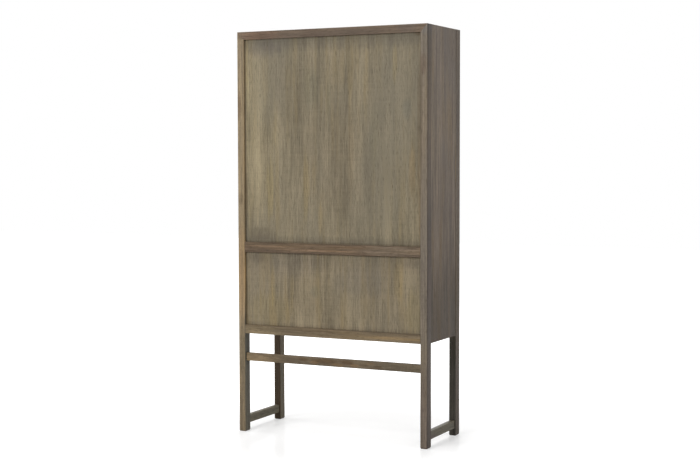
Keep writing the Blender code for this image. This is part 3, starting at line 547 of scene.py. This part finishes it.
# The colour of metal that has been handled: clean and tarnished parts, and bright rubbed edges
metal_tree, taken, given = new_group(
    "handled metal", {
        "Position": (0, 0, 0), "Clean": (0.4, 0.4, 0.4, 1), "Tarnished": (0.2, 0.2, 0.2, 1),
        "Bright": (0.6, 0.6, 0.6, 1), "Low": (0, 0, 0), "High": (1, 1, 1), "Wear": 0.6},
    ("Colour", "Roughness", "Height"))
clouds = speckle(metal_tree, taken["Position"], (90, 90, 90), 5.0, 0.6)
clouds = remap(metal_tree, clouds, 0.40, 0.62)
colour = mix_colours(metal_tree, clouds, taken["Clean"], taken["Tarnished"])
edge = place_group(metal_tree, edge_tree, {"Width": 0.0016, **pass_on(taken, EDGE_BOX)})
worn = calculate(metal_tree, "MULTIPLY", edge["Edge"], taken["Wear"])
colour = mix_colours(metal_tree, worn, colour, taken["Bright"])
rough = remap(metal_tree, clouds, 0.0, 1.0, 0.32, 0.55)
rough = calculate(metal_tree, "MULTIPLY_ADD", worn, -0.12, rough)
give(metal_tree, given, Colour=colour, Roughness=rough,
     Height=speckle(metal_tree, taken["Position"], (700, 700, 700), 3.0))

BRASS = {
    "Clean": (0.36, 0.255, 0.115, 1), "Tarnished": (0.23, 0.155, 0.072, 1),
    "Bright": (0.56, 0.42, 0.21, 1)}
BRASS_METALLIC = 1.0
METAL_GRAIN_DEPTH = 0.0001
FITTING_WEAR = 0.6


def metal(name, low, high, finish, metallic, wear):
    """A metal material for a piece that fills one box."""
    material = bpy.data.materials.new(name)
    material.use_nodes = True
    tree = material.node_tree
    surface = tree.nodes["Principled BSDF"]
    surface.inputs["Metallic"].default_value = metallic
    place = add_node(tree, "ShaderNodeTexCoord").outputs["Object"]
    handled = place_group(tree, metal_tree, {
        "Position": place, "Low": low, "High": high, "Wear": wear, **finish})
    tree.links.new(handled["Colour"], surface.inputs["Base Color"])
    tree.links.new(handled["Roughness"], surface.inputs["Roughness"])
    bump = add_node(tree, "ShaderNodeBump", {
        "Height": handled["Height"], "Strength": 0.35, "Distance": METAL_GRAIN_DEPTH}).outputs[0]
    tree.links.new(bump, surface.inputs["Normal"])
    return material


def ease(mesh, edges, width, segments):
    """Round edges of a bmesh, or chamfer them with one segment."""
    bmesh.ops.bevel(mesh, geom=edges, offset=width, segments=segments, profile=0.5, affect='EDGES',
                    material=-1)


def merge_in(mesh, part):
    """Add a finished bmesh to another one, and free it."""
    loose = bpy.data.meshes.new("loose_part")
    part.to_mesh(loose)
    part.free()
    mesh.from_mesh(loose)
    bpy.data.meshes.remove(loose)


# A slot's half width and the lean of its walls go by the radius of the head's foot, and its depth
# goes by the head's height.
SLOT_HALF_WIDTH = 0.16
SLOT_LEAN = 0.03
SLOT_DEPTH = 0.6
HEAD_SEGMENTS = 24
HEAD_EASE = 0.45
FLAT_NORMAL = 0.95


def add_slotted_head(mesh, place, facing, size, slot_turn):
    """Add the slotted head of a screw to a bmesh. It stands on a surface at place and points along
    facing. size gives its radius below and above, and its height. slot_turn is where its slot
    came to rest, in degrees."""
    foot, top, height = size
    slot_half = foot * SLOT_HALF_WIDTH
    head = bmesh.new()
    bmesh.ops.create_cone(head, cap_ends=True, segments=HEAD_SEGMENTS, radius1=foot, radius2=top,
                          depth=height)
    rim = [edge for edge in head.edges if all(vert.co.z > 0 for vert in edge.verts)]
    ease(head, rim, min(height, foot - top) * HEAD_EASE, 2)
    for plane in (-slot_half, slot_half):
        bmesh.ops.bisect_plane(head, geom=head.verts[:] + head.edges[:] + head.faces[:], dist=1e-7,
                               plane_co=(plane, 0, 0), plane_no=(1, 0, 0))
    strip = [face for face in head.faces
             if face.normal.z > FLAT_NORMAL and abs(face.calc_center_median().x) < slot_half]
    bmesh.ops.inset_region(head, faces=strip, thickness=foot * SLOT_LEAN,
                           depth=-height * SLOT_DEPTH)
    turn = Vector(facing).to_track_quat('Z', 'Y').to_matrix().to_4x4()
    turn = turn @ Matrix.Rotation(math.radians(slot_turn), 4, 'Z')
    turn = turn @ Matrix.Translation((0, 0, height / 2))
    bmesh.ops.transform(head, matrix=Matrix.Translation(place) @ turn, verts=head.verts)
    merge_in(mesh, head)


SHARP_ANGLE = math.radians(35)


def set_piece(name, mesh, finish, metallic, body, wear=FITTING_WEAR):
    """Make a piece of metal from a bmesh: smooth but for its sharp edges, riding on its body."""
    for face in mesh.faces:
        face.smooth = True
    for edge in mesh.edges:
        edge.smooth = edge.is_manifold and edge.calc_face_angle() < SHARP_ANGLE
    data = bpy.data.meshes.new(name)
    mesh.to_mesh(data)
    mesh.free()
    low = Vector([min(vert.co[axis] for vert in data.vertices) for axis in range(3)])
    high = Vector([max(vert.co[axis] for vert in data.vertices) for axis in range(3)])
    data.materials.append(metal(name + "_metal", low, high, finish, metallic, wear))
    piece = bpy.data.objects.new(name, data)
    bpy.context.scene.collection.objects.link(piece)
    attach(piece, body)


SLAT_PITCH = 0.112
SLAT_SCREW_INSET = 0.022
SLAT_SCREW = (0.0036, 0.0030, 0.0004)
rack_low, rack_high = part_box("stemware_rack")
screws = bmesh.new()
for slat in range(-2, 3):
    for step, y in enumerate((rack_low.y + SLAT_SCREW_INSET, rack_high.y - SLAT_SCREW_INSET)):
        add_slotted_head(screws, (slat * SLAT_PITCH, y, rack_low.z), (0, 0, -1), SLAT_SCREW,
                         37 * slat + 80 * step)
set_piece("stemware_rack_screws", screws, BRASS, BRASS_METALLIC, "cabinet", wear=0.0)

# Hinges. Two lift-off butt hinges of aged brass for each door, one leaf let into the post and one
# into the door's edge, each held by three countersunk screws with slotted heads.
HINGE_FACES = {"post": 0.5115, "door": 0.5075}
HINGE_SCREW_Y = -0.193
HINGE_SCREW_STEP = 0.030
HINGE_SCREW_STAGGER = 0.0022
HINGE_SCREW = (0.0026, 0.0021, 0.00035)
for side, outwards in (("left", -1), ("right", 1)):
    leaves = (("post", -outwards, "cabinet"), ("door", outwards, side + "_door"))
    for height in ("lower", "upper"):
        for part, facing, body in leaves:
            leaf = f"{side}_{height}_{part}_leaf"
            low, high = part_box(leaf)
            coat(leaf, metal(leaf + "_brass", low, high, BRASS, BRASS_METALLIC, FITTING_WEAR))
            screws = bmesh.new()
            for step in (-1, 0, 1):
                place = (HINGE_FACES[part] * outwards,
                         HINGE_SCREW_Y + HINGE_SCREW_STAGGER * (1 if step else -1),
                         (low.z + high.z) / 2 + step * HINGE_SCREW_STEP)
                add_slotted_head(screws, place, (facing, 0, 0), HINGE_SCREW, 50 * step + 20)
            set_piece(leaf + "_screws", screws, BRASS, BRASS_METALLIC, body, wear=0.0)

# Doors. Each door is a frame of solid oak around a flat panel of oak veneer. The rails are tenoned
# into the stiles, and the panel sits in a groove all round.
DOOR_MEMBERS = {
    "inner_stile": ("z", (0.224, 0.180, 0.126), (0.10, 0.07)),
    "outer_stile": ("z", (0.218, 0.176, 0.125), (0.08, 0.09)),
    "top_rail": ("x", (0.200, 0.156, 0.108), (0.07, 0.09)),
    "bottom_rail": ("x", (0.206, 0.162, 0.112), (0.01, 0.10)),
}
for side, door_seed in (("left", 91), ("right", 111)):
    for step, (member, (axis, colour, pith)) in enumerate(DOOR_MEMBERS.items()):
        finish_oak(f"{side}_door_{member}", axis, pith, 0.5, door_seed + 3 * step, stain_of(colour))
    finish_oak(f"{side}_door_panel", "z", (0.30, 0.22), 0.3, door_seed + 13,
               stain_of((0.262, 0.218, 0.148), **PANEL_STAIN))

# Pulls. Square bar of blackened iron, bent at both ends, on the doors and the drawers. A washer and
# a slotted screw behind the wood hold each foot.
IRON = {
    "Clean": (0.060, 0.056, 0.052, 1), "Tarnished": (0.030, 0.027, 0.024, 1),
    "Bright": (0.19, 0.18, 0.17, 1)}
IRON_METALLIC = 0.85
PULL_WEAR = 0.8
PULL_FOOT_INSET = 0.0045
WASHER_SEGMENTS = 32
WASHER_RADII = (0.0065, 0.0062)
WASHER_THICKNESS = 0.001
WASHER_LIP = 0.0006
WASHER_DISH = 0.00015
PULL_SCREW = (0.0042, 0.0030, 0.0018)
DOOR_BACK = -0.179
DRAWER_FRONT_BACK = -0.181
PULLS = {"door": (2, DOOR_BACK), "drawer": (0, DRAWER_FRONT_BACK)}
for side in ("left", "right"):
    for front, (along, inner_face) in PULLS.items():
        pull = f"{side}_{front}_pull"
        low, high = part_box(pull)
        coat(pull, metal(pull + "_iron", low, high, IRON, IRON_METALLIC, PULL_WEAR))
        fixings = bmesh.new()
        feet = ((low[along] + PULL_FOOT_INSET, 25), (high[along] - PULL_FOOT_INSET, 110))
        for foot, slot_turn in feet:
            place = (low + high) / 2
            place[along] = foot
            place.y = inner_face
            washer = bmesh.new()
            bmesh.ops.create_cone(
                washer, cap_ends=True, segments=WASHER_SEGMENTS, radius1=WASHER_RADII[0],
                radius2=WASHER_RADII[1], depth=WASHER_THICKNESS)
            caps = [face for face in washer.faces if abs(face.normal.z) > FLAT_NORMAL]
            bmesh.ops.inset_individual(washer, faces=caps, thickness=WASHER_LIP, depth=WASHER_DISH)
            seat = Matrix.Translation(place + Vector((0, WASHER_THICKNESS / 2, 0)))
            seat = seat @ Matrix.Rotation(math.radians(-90), 4, 'X')
            bmesh.ops.transform(washer, matrix=seat, verts=washer.verts)
            merge_in(fixings, washer)
            place = place + Vector((0, WASHER_THICKNESS, 0))
            add_slotted_head(fixings, place, (0, 1, 0), PULL_SCREW, slot_turn)
        set_piece(pull + "_fixings", fixings, IRON, IRON_METALLIC, f"{side}_{front}",
                  wear=0.0)

# Catches. A magnetic catch for each door is screwed up under the front top rail: an iron case
# around a magnet with two pole plates. A thin strike plate is screwed to the back of the door.
CATCH_CENTRE = 0.0265
CATCH_FRONT = -0.1776
CASE_SIZE = Vector((0.037, 0.0195, 0.0118))
CASE_EASE = 0.0012
MOUTH_LIP = 0.0014
MOUTH_DEPTH = 0.0008
POLE_SIZE = (0.030, 0.004, 0.0016)
POLE_EASE = 0.0003
POLE_HALF_GAP = 0.0022
POLE_SETBACK = 0.0018
RAIL_UNDERSIDE = 2.093
STRIKE_THICKNESS = 0.0008
STRIKE_SIZE = (0.034, STRIKE_THICKNESS, 0.0105)
STRIKE_CORNER = 0.0022
STRIKE_HEIGHT = 2.0838
STRIKE_SCREW = (0.0022, 0.0018, 0.0003)
STRIKE_SCREW_STEP = 0.011


def new_block(size):
    """A bmesh of a rectangular block around the origin."""
    block = bmesh.new()
    bmesh.ops.create_cube(block, size=1.0)
    bmesh.ops.scale(block, vec=size, verts=block.verts)
    return block


for side, outwards in (("left", -1), ("right", 1)):
    middle_x = outwards * CATCH_CENTRE
    case = new_block(CASE_SIZE)
    ease(case, case.edges[:], CASE_EASE, 2)
    mouth = [face for face in case.faces if face.normal.y < -FLAT_NORMAL]
    bmesh.ops.inset_region(case, faces=mouth, thickness=MOUTH_LIP, depth=-MOUTH_DEPTH)
    case_middle = Vector((
        middle_x, CATCH_FRONT + CASE_SIZE.y / 2, RAIL_UNDERSIDE - CASE_SIZE.z / 2))
    bmesh.ops.translate(case, vec=case_middle, verts=case.verts)
    set_piece(side + "_catch_case", case, IRON, IRON_METALLIC, "cabinet")

    poles = new_block(POLE_SIZE)
    ease(poles, poles.edges[:], POLE_EASE, 1)
    bmesh.ops.translate(poles, vec=(0, 0, POLE_HALF_GAP), verts=poles.verts)
    bmesh.ops.mirror(poles, geom=poles.verts[:] + poles.edges[:] + poles.faces[:],
                     merge_dist=0.0, axis='Z')
    bmesh.ops.recalc_face_normals(poles, faces=poles.faces)
    setback = Vector((0, POLE_SETBACK - CASE_SIZE.y / 2, 0))
    bmesh.ops.translate(poles, vec=case_middle + setback, verts=poles.verts)
    set_piece(side + "_catch_poles", poles, IRON, IRON_METALLIC, "cabinet")

    plate = new_block(STRIKE_SIZE)
    corners = [edge for edge in plate.edges
               if abs(edge.verts[0].co.y - edge.verts[1].co.y) > STRIKE_THICKNESS / 2]
    ease(plate, corners, STRIKE_CORNER, 4)
    plate_middle = (middle_x, DOOR_BACK + STRIKE_THICKNESS / 2, STRIKE_HEIGHT)
    bmesh.ops.translate(plate, vec=plate_middle, verts=plate.verts)
    for step in (-1, 1):
        place = (middle_x + step * STRIKE_SCREW_STEP, DOOR_BACK + STRIKE_THICKNESS, STRIKE_HEIGHT)
        add_slotted_head(plate, place, (0, 1, 0), STRIKE_SCREW, 60 * step)
    set_piece(side + "_strike_plate", plate, IRON, IRON_METALLIC, side + "_door")

# Drawers. Slab fronts of veneered oak, on boxes of plain oak with the bottom let into grooves. The
# boxes ride with grooved sides on wooden runners, which are screwed to the side panels and to the
# partition.
DRAWER_FRONT_STAIN = stain_of((0.244, 0.198, 0.136), Figure=0.9)
BOX_STAIN = stain_of((0.270, 0.215, 0.150), Streaking=0.7, Swathing=0.6, Wiping=0.1, Gilding=0.3)
RUNNER_STAIN = stain_of((0.250, 0.200, 0.140), Streaking=0.7, Swathing=0.6, Wiping=0.1)
BOX_GRAIN = {"inner_side": "y", "outer_side": "y", "back": "x", "bottom": "x"}
for side, drawer_seed in (("left", 131), ("right", 151)):
    finish_oak(f"{side}_drawer_front", "x", (0.02, -0.16), 0.7, drawer_seed, DRAWER_FRONT_STAIN)
    for step, (part, axis) in enumerate(BOX_GRAIN.items()):
        finish_oak(f"{side}_drawer_{part}", axis, (0.12, 0.10), 0.5,
                   drawer_seed + 2 * step + 2, BOX_STAIN)
    for step, part in enumerate(("inner", "outer")):
        finish_oak(f"{side}_{part}_runner", "y", (0.10, 0.10), 0.3,
                   drawer_seed + 12 + step, RUNNER_STAIN)

# Studio. A wide white floor runs out into a white background. The camera and the reflections see it
# glow white, fading to pale grey near the cabinet, and it still takes the cabinet's shadow.
FLOOR_SIZE = 30.0
FLOOR_TONES = (0.42, 0.60)
GLOW_FADE = (0.55, 1.4)
GLOW_AT_CABINET = 0.41
SHEEN = (0.10, 0.10, 0.10, 1)
SHEEN_ROUGHNESS = 0.15


def seen_rays(tree):
    """1 for the rays from the camera, a reflection or a glass, and 0 for those that carry light."""
    path = add_node(tree, "ShaderNodeLightPath").outputs
    return gather(tree, "MAXIMUM", path["Is Glossy Ray"], path["Is Transmission Ray"],
                  path["Is Camera Ray"])


floor_mesh = bmesh.new()
bmesh.ops.create_grid(floor_mesh, x_segments=1, y_segments=1, size=FLOOR_SIZE / 2)
floor_data = bpy.data.meshes.new("studio_floor")
floor_mesh.to_mesh(floor_data)
floor_mesh.free()
floor = bpy.data.objects.new("studio_floor", floor_data)
bpy.context.scene.collection.objects.link(floor)
floor_material = bpy.data.materials.new("studio_floor_white")
floor_material.use_nodes = True
tree = floor_material.node_tree
tree.nodes.clear()
seen = seen_rays(tree)
pale = remap(tree, seen, 0.0, 1.0, *FLOOR_TONES)
matt = add_node(tree, "ShaderNodeBsdfDiffuse", {"Color": pale}).outputs[0]
from_cabinet = length_of(tree, add_node(tree, "ShaderNodeTexCoord").outputs["Object"])
white = remap(tree, from_cabinet, *GLOW_FADE, GLOW_AT_CABINET, 1.0)
white = calculate(tree, "MULTIPLY", seen, white)
glow = add_node(tree, "ShaderNodeEmission", {"Color": (1, 1, 1, 1), "Strength": white}).outputs[0]
sheen = add_node(tree, "ShaderNodeBsdfGlossy", {
    "Color": SHEEN, "Roughness": SHEEN_ROUGHNESS}).outputs[0]
lit = add_node(tree, "ShaderNodeAddShader", {0: matt, 1: glow}).outputs[0]
lit = add_node(tree, "ShaderNodeAddShader", {0: lit, 1: sheen}).outputs[0]
add_node(tree, "ShaderNodeOutputMaterial", {"Surface": lit})
floor_data.materials.append(floor_material)

world = bpy.data.worlds.new("studio")
world.use_nodes = True
bpy.context.scene.world = world
tree = world.node_tree
tree.nodes.clear()
ROOM_LIGHT = 0.15
strength = remap(tree, seen_rays(tree), 0.0, 1.0, ROOM_LIGHT, 1.0)
sky = add_node(tree, "ShaderNodeBackground", {
    "Color": (1, 1, 1, 1), "Strength": strength}).outputs[0]
add_node(tree, "ShaderNodeOutputWorld", {"Surface": sky})

# Lamps. Five square softboxes light the cabinet evenly from all sides and from above. Each has its
# place, its width and its power, and all face the middle of the cabinet.
CABINET_MIDDLE = Vector((0, 0, 1.05))
SOFTBOXES = {
    "rear_softbox": ((0.9, 4.7, 3.6), 3.0, 168.0),
    "front_softbox": ((1.0, -4.4, 4.1), 2.6, 150.0),
    "left_softbox": ((-4.6, 0.5, 3.0), 2.4, 68.0),
    "right_softbox": ((4.6, 0.5, 3.0), 2.4, 68.0),
    "top_softbox": ((0.0, 0.6, 5.6), 3.0, 50.0),
}
for lamp_name, (place, width, power) in SOFTBOXES.items():
    lamp = bpy.data.lights.new(lamp_name, 'AREA')
    lamp.shape = 'SQUARE'
    lamp.size = width
    lamp.energy = power
    lamp_object = bpy.data.objects.new(lamp_name, lamp)
    lamp_object.location = place
    facing = CABINET_MIDDLE - Vector(place)
    lamp_object.rotation_euler = facing.to_track_quat('-Z', 'Y').to_euler()
    bpy.context.scene.collection.objects.link(lamp_object)

# Camera. It stands behind the cabinet and to its left, 1.48 m above the floor, as in the
# photograph: its place, turn and lens were fitted to the edges there.
camera_data = bpy.data.cameras.new("photograph_view")
camera_data.sensor_width = 36.0
camera_data.lens = 71.281
camera = bpy.data.objects.new("photograph_view", camera_data)
camera.location = (-3.2789, 6.5899, 1.4773)
camera.rotation_euler = (math.radians(86.803), math.radians(0.113), math.radians(-153.576))
bpy.context.scene.collection.objects.link(camera)
bpy.context.scene.camera = camera
bpy.context.scene.view_settings.view_transform = 'Standard'
